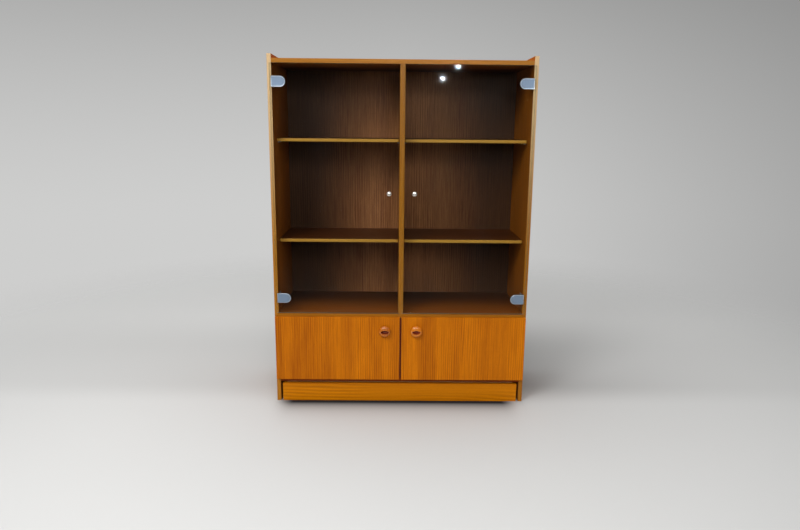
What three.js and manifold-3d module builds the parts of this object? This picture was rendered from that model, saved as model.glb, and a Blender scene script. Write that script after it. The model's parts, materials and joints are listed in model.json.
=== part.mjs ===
// Bookcase with adjustable shelves: a veneered carcass with two frameless glass doors above
// and two cupboard doors below. Millimetres, +Z up, front towards -Y, +X to the viewer's right.
// Every piece is drawn in carcass coordinates: x from the middle, y back from the carcass's
// front plane, z up from the floor. The last group moves them so that the bounding box is centred.
import * as THREE from 'three';
import { mergeVertices } from 'three/addons/utils/BufferGeometryUtils.js';
import Module from 'manifold-3d';

const wasm = await Module();
wasm.setup();

// ---- driving dimensions -------------------------------------------------------------------
const FIT = 0.3; // gap between pieces that touch
const OUTER_WIDTH = 1000;
const SIDE_HEIGHT = 1356;
const SIDE_DEPTH = 362;
const BOARD = 16; // sides, top, bottom, fixed shelf, plinth and cupboard doors
const DIVIDER = 19;
const TOP_SURFACE = 1340; // top face of the top board
const FIXED_SHELF_TOP = 370;
const BOTTOM_SURFACE = 100; // top face of the bottom board
const BOTTOM_RECESS = 1.5;
const PLINTH = { height: 75, endGap: 8 };
const BACK_PANEL = { thickness: 4, inset: 6, rebate: 8 };

const SHELF = { thickness: 12, recess: 62, lip: 8, backGap: 4, endGap: 1 };
const SHELF_TOPS = { upper: 1051, lower: 659 };
const WIRE = { radius: 2.5, standOff: 6, depth: 8, rows: [100, 298] }; // bent-wire shelf supports
const HOLES = { pitch: 56, below: 2, count: 13, radius: 3, depth: 8.4 };

const PANE = { thickness: 5, gap: 1.5, overlap: 7, middleGap: 6, foot: 3.5, head: 2 };
const GLASS_HINGE = { heights: [434, 1257], bore: 13, fromEdge: 32, cupReach: 9 };
const COVER = { width: 52.5, height: 38, thickness: 3, fromEdge: 5.5 };
const GLASS_KNOB = { height: 848, fromMiddle: 48.3, radius: 9.4, reach: 15, screw: 2 };

const DOOR = { gap: 2, sideInset: 3, middleGap: 7, foot: 98.5, head: 360 };
const DOOR_HINGE = { heights: [150, 306], cup: 17.5, depth: 12.4, fromEdge: 22.5 };
const PULL = { height: 304.5, fromMiddle: 62.3, radius: 23.5, reach: 20, screw: 2 };
const ARM = { height: 12, plateHeight: 30, plateThickness: 2.2, screwHole: 1.9, screwOffset: 10.5 };
const CATCH = { width: 40, depth: 14, height: 12, fromMiddle: 40, plate: 28 };

// Hinge arms in plan: distance in from the side's face, then back from the front plane.
const GLASS_ARM = {
  plate: [14, 54],
  screwY: 45,
  outline: [
    [2, 16], [8, 9], [29, 9], [29, 13.5], [13, 14], [9, 22], [9, 44], [5, 50], [2, 50],
  ],
};
const DOOR_ARM = {
  plate: [18, 60],
  screwY: 50,
  outline: [
    [2, 20], [6, 13], [6, 0.6], [14, 0.6], [14, 13], [10, 24], [10, 48], [5, 56], [2, 56],
  ],
};

// ---- worked-out places --------------------------------------------------------------------
const innerFace = OUTER_WIDTH / 2 - BOARD;
const dividerFace = DIVIDER / 2;
const boardDepth = SIDE_DEPTH - BACK_PANEL.inset - BACK_PANEL.thickness - FIT;
const backPanelFront = boardDepth + FIT;
const topUnderside = TOP_SURFACE - BOARD;
const fixedUnderside = FIXED_SHELF_TOP - BOARD;
const bottomUnderside = BOTTOM_SURFACE - BOARD;
const paneBack = -PANE.gap;
const paneFront = paneBack - PANE.thickness;
const paneEdge = innerFace + PANE.overlap;
const doorBack = -DOOR.gap;
const doorFront = doorBack - BOARD;
const doorEdge = OUTER_WIDTH / 2 - DOOR.sideInset;
const frontReach = PULL.reach - doorFront;
const originShift = (frontReach - SIDE_DEPTH) / 2;
const hands = [['left', -1], ['right', 1]];

// ---- materials ----------------------------------------------------------------------------
const finish = (color, roughness, metalness = 0) =>
  new THREE.MeshStandardMaterial({ color, roughness, metalness });
const teak = finish(0xb06a1c, 0.45);
const doorTeak = finish(0xbe6c0c, 0.42);
const shelfTeak = finish(0x7a4316, 0.5);
const paleEdge = finish(0xb8903c, 0.5);
const backVeneer = finish(0x5a3a20, 0.6);
const blockWood = finish(0xb89468, 0.75);
const clearGlass = new THREE.MeshStandardMaterial({
  color: 0xdfe8ea, roughness: 0.05, transparent: true, opacity: 0.3,
});
const chrome = finish(0xb8c4d0, 0.15, 1);
const steel = finish(0x9a9ca0, 0.35, 1);
const zinc = finish(0x8c8f94, 0.4, 1);
const brownPlastic = finish(0x4a3526, 0.55);

// ---- small solid-modelling helpers --------------------------------------------------------
function toSolid(geometry) {
  const bare = geometry.clone();
  bare.deleteAttribute('normal');
  bare.deleteAttribute('uv');
  const merged = mergeVertices(bare, 1e-4);
  const corners = merged.index.array;
  const kept = [];
  for (let i = 0; i < corners.length; i += 3) {
    const [a, b, c] = [corners[i], corners[i + 1], corners[i + 2]];
    if (a !== b && b !== c && c !== a) kept.push(a, b, c);
  }
  return new wasm.Manifold(new wasm.Mesh({
    numProp: 3,
    vertProperties: new Float32Array(merged.attributes.position.array),
    triVerts: new Uint32Array(kept),
  }));
}

function toGeometry(solid) {
  const { vertProperties, triVerts } = solid.getMesh();
  const geometry = new THREE.BufferGeometry();
  geometry.setAttribute('position', new THREE.BufferAttribute(vertProperties, 3));
  geometry.setIndex(new THREE.BufferAttribute(triVerts, 1));
  return geometry;
}

const cut = (geometry, tools) =>
  toGeometry(tools.reduce((solid, tool) => solid.subtract(toSolid(tool)), toSolid(geometry)));

const join = (geometry, others) =>
  toGeometry(others.reduce((solid, other) => solid.add(toSolid(other)), toSolid(geometry)));

// A mesh whose own origin is the middle of its shape.
function piece(name, material, geometry) {
  geometry.computeBoundingBox();
  const middle = geometry.boundingBox.getCenter(new THREE.Vector3());
  geometry.translate(-middle.x, -middle.y, -middle.z);
  const mesh = new THREE.Mesh(geometry, material);
  mesh.name = name;
  mesh.position.copy(middle);
  return mesh;
}

function block([x0, x1], [y0, y1], [z0, z1]) {
  const geometry = new THREE.BoxGeometry(Math.abs(x1 - x0), y1 - y0, z1 - z0);
  return geometry.translate((x0 + x1) / 2, (y0 + y1) / 2, (z0 + z1) / 2);
}

function rodX(radius, x0, x1, y, z, sides = 8) {
  const rod = new THREE.CylinderGeometry(radius, radius, Math.abs(x1 - x0), sides);
  return rod.rotateZ(Math.PI / 2).translate((x0 + x1) / 2, y, z);
}

function rodY(radius, y0, y1, x, z, sides = 8) {
  const rod = new THREE.CylinderGeometry(radius, radius, y1 - y0, sides);
  return rod.translate(x, (y0 + y1) / 2, z);
}

// A turned piece on an axis along Y; its profile is [radius, y] pairs from front to back.
function turned(profile, x, z, sides = 14) {
  const points = profile.map(([radius, y]) => new THREE.Vector2(radius, y));
  return new THREE.LatheGeometry(points, sides).translate(x, 0, z);
}

// An outline in plan, [x, y] pairs, raised to a height about z.
function raised(outline, height, z) {
  const shape = new THREE.Shape(outline.map(([x, y]) => new THREE.Vector2(x, y)));
  const geometry = new THREE.ExtrudeGeometry(shape, { depth: height, bevelEnabled: false });
  return geometry.translate(0, 0, z - height / 2);
}

// ---- holes for the shelf supports ----------------------------------------------------------
const wireHeight = (shelfTop) => shelfTop - SHELF.thickness - FIT - WIRE.radius;
const lowestHole = wireHeight(SHELF_TOPS.lower) - HOLES.below * HOLES.pitch;

// Two rows of holes in a board's face at x = face, going away from the bay in direction inward.
function supportHoles(face, inward) {
  const holes = [];
  for (const y of WIRE.rows) {
    for (let step = 0; step < HOLES.count; step += 1) {
      const z = lowestHole + step * HOLES.pitch;
      holes.push(rodX(HOLES.radius, face - inward, face + inward * HOLES.depth, y, z, 6));
    }
  }
  return holes;
}

// ---- carcass boards -----------------------------------------------------------------------
function sidePanel(name, hand) {
  const panel = block([hand * innerFace, hand * OUTER_WIDTH / 2], [0, SIDE_DEPTH], [0, SIDE_HEIGHT]);
  const rebate = block(
    [hand * (innerFace - 1), hand * (innerFace + BACK_PANEL.rebate)],
    [backPanelFront, SIDE_DEPTH + 1],
    [bottomUnderside - FIT, SIDE_HEIGHT + 1],
  );
  return piece(name, teak, cut(panel, [rebate, ...supportHoles(hand * innerFace, hand)]));
}

function crossBoard(name, upper) {
  const width = innerFace - FIT;
  const front = upper === TOP_SURFACE ? 0 : BOTTOM_RECESS;
  const board = block([-width, width], [front, boardDepth], [upper - BOARD, upper]);
  return piece(name, teak, board);
}

function centreDivider() {
  const board = block(
    [-dividerFace, dividerFace], [0, boardDepth], [BOTTOM_SURFACE + FIT, topUnderside - FIT],
  );
  const holes = [...supportHoles(-dividerFace, 1), ...supportHoles(dividerFace, -1)];
  return piece('centre_divider', teak, cut(board, holes));
}

function fixedShelf(name, hand) {
  const board = block(
    [hand * (dividerFace + FIT), hand * (innerFace - FIT)], [0, boardDepth],
    [fixedUnderside, FIXED_SHELF_TOP],
  );
  return piece(name, teak, board);
}

function plinthBoard() {
  const end = innerFace - PLINTH.endGap;
  return piece('plinth_board', doorTeak, block([-end, end], [0, BOARD], [0, PLINTH.height]));
}

// Batten that hangs the plinth from the bottom board.
function plinthBatten() {
  const [end, depth, lift] = [460, 22, 30];
  const faces = [BOARD + FIT, BOARD + FIT + depth];
  return piece('plinth_batten', blockWood, block([-end, end], faces, [lift, bottomUnderside - FIT]));
}

function backPanel() {
  const reach = innerFace + BACK_PANEL.rebate - FIT;
  const faces = [backPanelFront + FIT, backPanelFront + BACK_PANEL.thickness];
  return piece('back_panel', backVeneer, block([-reach, reach], faces, [bottomUnderside, TOP_SURFACE]));
}

// ---- adjustable shelves -------------------------------------------------------------------
function bayEdges(hand) {
  return [hand * (dividerFace + SHELF.endGap), hand * (innerFace - SHELF.endGap)];
}

function adjustableShelf(name, hand, top) {
  const board = block(
    bayEdges(hand), [SHELF.recess + SHELF.lip + FIT, backPanelFront - SHELF.backGap],
    [top - SHELF.thickness, top],
  );
  return piece(name, shelfTeak, board);
}

function shelfLip(name, hand, top) {
  const lip = block(
    bayEdges(hand), [SHELF.recess, SHELF.recess + SHELF.lip], [top - SHELF.thickness, top],
  );
  return piece(name, paleEdge, lip);
}

// Bent wire whose two ends sit in a board's holes; face is the board's, inward leads into it.
function shelfSupport(name, face, inward, top) {
  const z = wireHeight(top);
  const x = face - inward * WIRE.standOff;
  const [front, back] = WIRE.rows;
  const ends = WIRE.rows.map((y) => rodX(WIRE.radius, x, face + inward * WIRE.depth, y, z, 6));
  const bends = WIRE.rows.map((y) => new THREE.SphereGeometry(WIRE.radius, 6, 4).translate(x, y, z));
  return piece(name, steel, join(rodY(WIRE.radius, front, back, x, z, 6), [...ends, ...bends]));
}

// ---- glass doors --------------------------------------------------------------------------
const glassHingeX = (hand) => hand * (paneEdge - GLASS_HINGE.fromEdge);

function glassPane(name, hand) {
  const pane = block(
    [hand * PANE.middleGap / 2, hand * paneEdge], [paneFront, paneBack],
    [FIXED_SHELF_TOP + PANE.foot, topUnderside - PANE.head],
  );
  const bores = GLASS_HINGE.heights.map((z) =>
    rodY(GLASS_HINGE.bore, paneFront - 1, paneBack + 1, glassHingeX(hand), z, 24));
  const knobHole = rodY(
    GLASS_KNOB.screw + 0.5, paneFront - 1, paneBack + 1, hand * GLASS_KNOB.fromMiddle, GLASS_KNOB.height,
  );
  return piece(name, clearGlass, cut(pane, [...bores, knobHole]));
}

// D-shaped plate, its straight side towards the side panel.
function hingeCover(name, hand, z) {
  const bevel = 0.8;
  const radius = COVER.height / 2 - bevel;
  const flat = COVER.width - 2 * bevel - radius;
  const shape = new THREE.Shape();
  shape.moveTo(0, -radius);
  shape.lineTo(flat, -radius);
  shape.absarc(flat, 0, radius, -Math.PI / 2, Math.PI / 2);
  shape.lineTo(0, radius);
  const plate = new THREE.ExtrudeGeometry(shape, {
    depth: COVER.thickness - 2 * bevel, bevelThickness: bevel, bevelSize: bevel,
    bevelSegments: 1, curveSegments: 10,
  });
  plate.rotateZ(hand > 0 ? Math.PI : 0).rotateX(Math.PI / 2);
  const x = hand * (paneEdge - COVER.fromEdge - bevel);
  return piece(name, chrome, plate.translate(x, paneFront - FIT - bevel, z));
}

function glassHingeCup(name, hand, z) {
  const [body, flange, hollow] = [GLASS_HINGE.bore - 0.4, 16, 9.5];
  const flangeFront = paneBack + FIT;
  const rim = paneBack + GLASS_HINGE.cupReach;
  const profile = [
    [0, paneFront + 0.2], [body, paneFront + 0.2], [body, flangeFront], [flange, flangeFront],
    [flange, flangeFront + 1.4], [body, flangeFront + 2], [body, rim], [hollow, rim],
    [hollow, paneBack + 1.5], [0, paneBack + 1.5],
  ];
  return piece(name, zinc, turned(profile, glassHingeX(hand), z));
}

function hingeArm(name, hand, z, arm) {
  const place = (u) => hand * (innerFace - u);
  const plate = block(
    [place(FIT), place(FIT + ARM.plateThickness)], arm.plate,
    [z - ARM.plateHeight / 2, z + ARM.plateHeight / 2],
  );
  const body = raised(arm.outline.map(([u, y]) => [place(u), y]), ARM.height, z);
  const holes = [-1, 1].map((way) => rodX(
    ARM.screwHole, place(-1), place(ARM.plateThickness + 1), arm.screwY, z + way * ARM.screwOffset, 8,
  ));
  return piece(name, steel, cut(join(plate, [body]), holes));
}

// Turned knob, the screw through the glass and the screw's head behind it.
function glassKnob(name, hand) {
  const r = GLASS_KNOB.radius;
  const face = paneFront - FIT;
  const front = face - GLASS_KNOB.reach;
  const head = paneBack + FIT;
  const profile = [
    [0, front], [r * 0.55, front + 0.5], [r * 0.88, front + 2], [r, front + 4.4], [r * 0.9, front + 6.6],
    [r * 0.55, front + 8.6], [r * 0.5, face - 2], [r * 0.75, face], [GLASS_KNOB.screw, face],
    [GLASS_KNOB.screw, head], [r * 0.6, head], [r * 0.55, head + 2], [0, head + 2.3],
  ];
  return piece(name, chrome, turned(profile, hand * GLASS_KNOB.fromMiddle, GLASS_KNOB.height));
}

// ---- cupboard doors -----------------------------------------------------------------------
const doorHingeX = (hand) => hand * (doorEdge - DOOR_HINGE.fromEdge);

function cupboardDoor(name, hand) {
  const slab = block(
    [hand * DOOR.middleGap / 2, hand * doorEdge], [doorFront, doorBack], [DOOR.foot, DOOR.head],
  );
  const recesses = DOOR_HINGE.heights.map((z) =>
    rodY(DOOR_HINGE.cup + FIT, doorBack - DOOR_HINGE.depth - FIT, doorBack + 1, doorHingeX(hand), z, 24));
  const screwHole = rodY(
    PULL.screw + 0.3, doorFront - 1, doorBack + 1, hand * PULL.fromMiddle, PULL.height,
  );
  return piece(name, doorTeak, cut(slab, [...recesses, screwHole]));
}

function doorHingeCup(name, hand, z) {
  const [body, flange, hollow] = [DOOR_HINGE.cup, 19.5, 14];
  const floor = doorBack - DOOR_HINGE.depth;
  const flangeFront = doorBack + 0.2;
  const rim = flangeFront + 1.1;
  const profile = [
    [0, floor], [body, floor], [body, flangeFront], [flange, flangeFront], [flange, rim - 0.3],
    [flange - 0.3, rim], [hollow, rim], [hollow, floor + 1.5], [0, floor + 1.5],
  ];
  return piece(name, zinc, turned(profile, doorHingeX(hand), z));
}

// Round turned pull with a scooped finger recess across its face.
function cupboardPull(name, hand) {
  const r = PULL.radius;
  const face = doorFront - FIT;
  const front = doorFront - PULL.reach;
  const profile = [
    [0, front], [r * 0.74, front], [r * 0.91, front + 2], [r, front + 6.5], [r * 0.95, front + 12],
    [r * 0.82, front + 17], [r * 0.76, face], [0, face],
  ];
  const scoop = new THREE.SphereGeometry(1, 14, 8).scale(r * 0.68, 9, r * 0.38);
  scoop.translate(0, front, -1.2);
  const bore = rodY(PULL.screw + 0.2, face - 7, face + 1, 0, 0);
  const pull = cut(turned(profile, 0, 0, 18), [scoop, bore]);
  return piece(name, teak, pull.translate(hand * PULL.fromMiddle, 0, PULL.height));
}

function pullScrew(name, hand) {
  const [x, z] = [hand * PULL.fromMiddle, PULL.height];
  const shank = rodY(PULL.screw, doorFront - FIT - 6.5, doorBack + 1, x, z);
  const head = rodY(4.2, doorBack + FIT, doorBack + 2.8, x, z, 12);
  return piece(name, steel, join(shank, [head]));
}

// Magnetic catch under the fixed shelf, and the plate that it holds on the door.
function doorCatch(name, hand) {
  const xs = [-1, 1].map((way) => hand * (CATCH.fromMiddle + way * CATCH.width / 2));
  const high = fixedUnderside - FIT;
  return piece(name, brownPlastic, block(xs, [-0.4, CATCH.depth], [high - CATCH.height, high]));
}

function catchPlate(name, hand) {
  const xs = [-1, 1].map((way) => hand * (CATCH.fromMiddle + way * CATCH.plate / 2));
  const z = fixedUnderside - FIT - CATCH.height / 2;
  return piece(name, steel, block(xs, [doorBack + 0.2, doorBack + 1.1], [z - 5, z + 5]));
}

// ---- assembly -----------------------------------------------------------------------------
const bookcase = new THREE.Group();
bookcase.position.y = originShift;
bookcase.add(
  crossBoard('top_board', TOP_SURFACE), crossBoard('bottom_board', BOTTOM_SURFACE), centreDivider(),
  plinthBoard(), plinthBatten(), backPanel(),
);

for (const [side, hand] of hands) {
  bookcase.add(sidePanel(`side_${side}`, hand), fixedShelf(`fixed_shelf_${side}`, hand));

  for (const [level, top] of Object.entries(SHELF_TOPS)) {
    bookcase.add(
      adjustableShelf(`shelf_${level}_${side}`, hand, top),
      shelfLip(`shelf_lip_${level}_${side}`, hand, top),
      shelfSupport(`shelf_wire_${level}_${side}_outer`, hand * innerFace, hand, top),
      shelfSupport(`shelf_wire_${level}_${side}_inner`, hand * dividerFace, -hand, top),
    );
  }

  bookcase.add(
    glassPane(`glass_pane_${side}`, hand), glassKnob(`glass_knob_${side}`, hand),
    cupboardDoor(`cupboard_door_${side}`, hand), cupboardPull(`cupboard_pull_${side}`, hand),
    pullScrew(`pull_screw_${side}`, hand), doorCatch(`door_catch_${side}`, hand),
    catchPlate(`catch_plate_${side}`, hand),
  );

  ['low', 'high'].forEach((level, i) => {
    const glassZ = GLASS_HINGE.heights[i];
    const doorZ = DOOR_HINGE.heights[i];
    bookcase.add(
      hingeCover(`glass_hinge_cover_${level}_${side}`, hand, glassZ),
      glassHingeCup(`glass_hinge_cup_${level}_${side}`, hand, glassZ),
      hingeArm(`glass_hinge_arm_${level}_${side}`, hand, glassZ, GLASS_ARM),
      doorHingeCup(`door_hinge_cup_${level}_${side}`, hand, doorZ),
      hingeArm(`door_hinge_arm_${level}_${side}`, hand, doorZ, DOOR_ARM),
    );
  });
}

export default bookcase;
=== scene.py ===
# Bookcase with adjustable shelves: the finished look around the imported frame, in metres.
import json
import math
import bpy
from mathutils import Matrix, Vector

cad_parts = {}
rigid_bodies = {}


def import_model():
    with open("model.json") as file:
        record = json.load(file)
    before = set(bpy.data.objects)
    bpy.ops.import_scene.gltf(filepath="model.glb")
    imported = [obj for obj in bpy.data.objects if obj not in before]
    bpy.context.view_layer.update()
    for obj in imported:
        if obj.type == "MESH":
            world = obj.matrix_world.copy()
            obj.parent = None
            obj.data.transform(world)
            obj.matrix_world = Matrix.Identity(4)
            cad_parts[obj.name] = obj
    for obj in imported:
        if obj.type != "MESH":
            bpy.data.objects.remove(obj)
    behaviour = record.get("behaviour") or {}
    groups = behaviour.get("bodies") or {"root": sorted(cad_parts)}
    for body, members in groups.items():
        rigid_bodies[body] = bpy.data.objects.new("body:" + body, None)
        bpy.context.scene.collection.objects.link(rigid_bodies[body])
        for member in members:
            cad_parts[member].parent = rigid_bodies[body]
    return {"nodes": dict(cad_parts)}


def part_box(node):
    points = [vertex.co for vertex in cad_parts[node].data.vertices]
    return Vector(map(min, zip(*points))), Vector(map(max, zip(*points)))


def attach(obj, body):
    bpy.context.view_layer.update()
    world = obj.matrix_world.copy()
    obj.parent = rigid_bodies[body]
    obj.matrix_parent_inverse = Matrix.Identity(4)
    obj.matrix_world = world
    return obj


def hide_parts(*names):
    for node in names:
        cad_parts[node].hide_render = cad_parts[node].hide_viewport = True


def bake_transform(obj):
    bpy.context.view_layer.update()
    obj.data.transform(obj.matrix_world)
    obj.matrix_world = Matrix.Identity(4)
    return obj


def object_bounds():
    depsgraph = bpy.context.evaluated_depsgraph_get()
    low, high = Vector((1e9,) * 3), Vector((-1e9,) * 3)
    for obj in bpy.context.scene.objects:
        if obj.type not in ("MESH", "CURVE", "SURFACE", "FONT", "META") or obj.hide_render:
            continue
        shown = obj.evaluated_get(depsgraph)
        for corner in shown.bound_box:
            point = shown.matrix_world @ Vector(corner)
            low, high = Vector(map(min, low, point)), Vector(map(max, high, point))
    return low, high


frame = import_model()
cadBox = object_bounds()
hands = [("left", -1), ("right", 1)]
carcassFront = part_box("side_left")[0].y  # plane of the side panels' front edges
print("frame loaded:", len(frame["nodes"]), "nodes")


# Colour from a six-digit code, as the shader wants it
def paint(code):
    parts = [int(code[i:i + 2], 16) / 255 for i in (0, 2, 4)]
    return tuple(c / 12.92 if c < 0.04045 else ((c + 0.055) / 1.055) ** 2.4 for c in parts) + (1.0,)


# A socket whose sums and products add Math nodes
class Value:
    def __init__(self, graph, socket):
        self.graph = graph
        self.socket = socket

    def __add__(self, other):
        return self.graph.maths("ADD", self, other)

    def __radd__(self, other):
        return self.graph.maths("ADD", other, self)

    def __sub__(self, other):
        return self.graph.maths("SUBTRACT", self, other)

    def __rsub__(self, other):
        return self.graph.maths("SUBTRACT", other, self)

    def __mul__(self, other):
        return self.graph.maths("MULTIPLY", self, other)

    def __rmul__(self, other):
        return self.graph.maths("MULTIPLY", other, self)

    def __pow__(self, other):
        return self.graph.maths("POWER", self, other)


# A material's or the world's node tree
class Graph:
    def __init__(self, owner, where="Object"):
        owner.use_nodes = True
        self.owner = owner
        self.tree = owner.node_tree
        self.tree.nodes.clear()
        self.place = self.node("ShaderNodeTexCoord").outputs[where]

    def node(self, kind, settings=(), sockets=()):
        made = self.tree.nodes.new(kind)
        for key, value in dict(settings).items():
            setattr(made, key, value)
        for key, value in dict(sockets).items():
            self.feed(made.inputs[key], value)
        return made

    def feed(self, socket, value):
        if isinstance(value, Value):
            value = value.socket
        if isinstance(value, bpy.types.NodeSocket):
            self.tree.links.new(value, socket)
        else:
            socket.default_value = value

    def maths(self, operation, a, b=0.0, clamp=False):
        settings = {"operation": operation, "use_clamp": clamp}
        return Value(self, self.node("ShaderNodeMath", settings, {0: a, 1: b}).outputs[0])

    def clamped(self, value):
        return self.maths("ADD", value, 0.0, clamp=True)

    def stretched(self, scale, shift=(0, 0, 0)):
        sockets = {"Vector": self.place, "Scale": scale, "Location": shift}
        return self.node("ShaderNodeMapping", {}, sockets).outputs[0]

    def noise(self, where, scale, detail=2.0, rough=0.5):
        sockets = {"Vector": where, "Scale": scale, "Detail": detail, "Roughness": rough}
        return Value(self, self.node("ShaderNodeTexNoise", {}, sockets).outputs["Fac"])

    def axis(self, where, letter):
        return Value(self, self.node("ShaderNodeSeparateXYZ", {}, {0: where}).outputs[letter])

    def between(self, value, low, high):  # 0 below low, 1 above high, smooth in the middle
        settings = {"interpolation_type": "SMOOTHSTEP"}
        sockets = {"Value": value, "From Min": low, "From Max": high}
        return Value(self, self.node("ShaderNodeMapRange", settings, sockets).outputs[0])

    def mixed(self, share, a, b):  # share 0 is all a, 1 all b
        return self.node("ShaderNodeMix", {"data_type": "RGBA"}, {0: share, 6: a, 7: b}).outputs[2]

    def bump(self, height, distance, strength=1.0):
        sockets = {"Height": height, "Distance": distance, "Strength": strength}
        return self.node("ShaderNodeBump", {}, sockets).outputs[0]

    def output(self, shader, kind="Material"):
        self.node("ShaderNodeOutput" + kind, {}, {"Surface": shader})
        return self.owner

    def surface(self, **sockets):
        named = {key.replace("_", " "): value for key, value in sockets.items()}
        return self.output(self.node("ShaderNodeBsdfPrincipled", {}, named).outputs[0])


def finish(name):
    return Graph(bpy.data.materials.new(name))


# Oiled teak veneer. The grain runs along one axis; a look holds its colours, the strength of its
# fine streaks and broad bands, and its growth lines: how many radians a metre, and how far they wander
teakLooks = {
    "door": {
        "light": "d47a04", "dark": "984c02", "pore": "642c00", "rough": 0.42, "gloss": 0.09,
        "streak": 1.6, "band": 1.7, "lines": 700, "wander": 14, "figure": 0.22,
    },
    "plinth": {
        "light": "de8804", "dark": "aa5e02", "pore": "743602", "rough": 0.42, "gloss": 0.09,
        "streak": 0.6, "band": 1.2, "lines": 420, "wander": 30, "figure": 0.24,
    },
    "edge": {
        "light": "b87a1e", "dark": "90560f", "pore": "6e3908", "rough": 0.36, "gloss": 0.16,
        "streak": 1.0, "band": 1.0, "lines": 500, "wander": 10, "figure": 0.12,
    },
    # The inside, shelf and level looks are darker copies of the door's teak, the shelf's far darker: painted
    # shade inside the case
    "inside": {
        "light": "b2681a", "dark": "743c08", "pore": "4c2404", "rough": 0.42, "gloss": 0.15,
        "streak": 1.2, "band": 1.1, "lines": 520, "wander": 24, "figure": 0.30,
    },
    "shelf": {
        "light": "5a2d0c", "dark": "391a05", "pore": "240e02", "rough": 0.38, "gloss": 0.13,
        "streak": 1.2, "band": 1.2, "lines": 420, "wander": 30, "figure": 0.30,
    },
    "level": {
        "light": "a0560c", "dark": "6a3203", "pore": "421c01", "rough": 0.42, "gloss": 0.06,
        "streak": 1.2, "band": 1.1, "lines": 520, "wander": 24, "figure": 0.30,
    },
    # painted shadow for an edge in the gap under the doors
    "stained": {
        "light": "98400a", "dark": "682804", "pore": "4a1602", "rough": 0.45, "gloss": 0.08,
        "streak": 1.0, "band": 1.0, "lines": 500, "wander": 10, "figure": 0.12,
    },
    "lip": {
        "light": "bf9039", "dark": "9a6a22", "pore": "774c15", "rough": 0.34, "gloss": 0.2,
        "streak": 0.9, "band": 0.9, "lines": 500, "wander": 8, "figure": 0.10,
    },
    "back": {
        "light": "ac7447", "dark": "693b22", "pore": "3d1f10", "rough": 0.42, "gloss": 0.12,
        "streak": 2.0, "band": 1.0, "lines": 620, "wander": 12, "figure": 0.22,
    },
    "reverse": {
        "light": "a07c56", "dark": "86643e", "pore": "6a4c2c", "rough": 0.62, "gloss": 0.1,
        "streak": 0.7, "band": 0.6, "lines": 620, "wander": 12, "figure": 0.06,
    },
    "turned": {
        "light": "dc8014", "dark": "8c3e06", "pore": "602602", "rough": 0.20, "gloss": 0.6,
        "streak": 1.1, "band": 0.9, "lines": 900, "wander": 12, "figure": 0.25,
    },
    # painted shade, for the inside of the pull's scoop and the divider's edge behind the doors
    "hollow": {
        "light": "842a06", "dark": "541602", "pore": "380c00", "rough": 0.34, "gloss": 0.3,
        "streak": 1.1, "band": 0.9, "lines": 900, "wander": 12, "figure": 0.25,
    },
}
# Painted light and shade on a board: from and to along an axis, the tone, how much
paintedLightLooks = {
    "shaded": {"axis": "X", "from": 0.04, "to": 0.40, "tone": "1e0e06", "share": 0.86},
    "painted_highlight_high": {"axis": "Z", "from": 0.55, "to": 1.36, "tone": "e8cfa4", "share": 0.6},
    "deep": {"axis": "Y", "from": -0.15, "to": 0.12, "tone": "1c0c04", "share": 0.85},
}
grainAxes = {"X": 0, "Y": 1, "Z": 2}


def teak(look, grain, shift=(0.0, 0.0, 0.0), lightAndShade=None):
    values = teakLooks[look]
    g = finish(f"teak {look} {grain} {shift[0]:g} {shift[2]:g}")
    along = grainAxes[grain]

    def squeezed(share):
        return g.stretched([share if i == along else 1.0 for i in range(3)], shift)

    across = [g.axis(g.place, letter) for letter in "XYZ" if letter != grain]
    drift = g.noise(squeezed(0.30), 4.5, 2.0)  # slow wander of the growth lines
    phase = (across[0] + across[1]) * values["lines"] + drift * values["wander"]
    rings = g.maths("SINE", phase + g.noise(squeezed(0.1), 55.0, 2.0) * 5.0)
    fading = g.between(g.noise(squeezed(0.25), 8.0, 1.0), 0.38, 0.62)  # the lines come and go
    bands = g.noise(squeezed(0.04), 12.0, 2.0)  # broad
    streaks = g.noise(squeezed(0.03), 210.0, 4.0, 0.7)  # fine
    fibres = g.noise(squeezed(0.02), 900.0, 2.0, 0.6)  # the wood's surface
    dashes = g.noise(squeezed(0.05), 1500.0, 2.0, 0.6)  # short open pores
    pores = g.between(dashes, 0.58, 0.70) * g.between(streaks, 0.40, 0.56)
    tone = g.clamped(
        (streaks - 0.5) * values["streak"] + (bands - 0.5) * values["band"]
        + rings * fading * values["figure"] + (fibres - 0.5) * 0.5 + 0.5
    )
    colour = g.mixed(tone, paint(values["dark"]), paint(values["light"]))
    colour = g.mixed(pores * 0.6, colour, paint(values["pore"]))
    handled = g.noise(squeezed(0.5), 3.0, 3.0)  # years of oil and hands
    colour = g.mixed(g.between(handled, 0.45, 0.75) * 0.22, colour, paint(values["dark"]))
    # painted light and shade along one axis
    if lightAndShade:
        lightAndShade = paintedLightLooks[lightAndShade]
        reach = g.axis(g.place, lightAndShade["axis"])
        if lightAndShade["axis"] == "X":  # the same to both sides of the middle
            reach = g.maths("ABSOLUTE", reach)
        reach = reach + (bands - 0.5) * 0.1  # no straight line where it starts
        paintedShare = g.between(reach, lightAndShade["from"], lightAndShade["to"]) * lightAndShade["share"]
        colour = g.mixed(paintedShare, colour, paint(lightAndShade["tone"]))
    rough = (fibres - 0.5) * 0.14 + (handled - 0.5) * 0.12 + pores * 0.2 + values["rough"]
    height = fibres * 0.4 + streaks * 0.3 - pores * 0.8
    return g.surface(
        Base_Color=colour, Roughness=g.clamped(rough), Normal=g.bump(height, 0.00015, 0.5),
        Specular_IOR_Level=values["gloss"],
    )


metalTones = {"smudge": "8a8f96", "spot": "5c5a56"}


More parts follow.
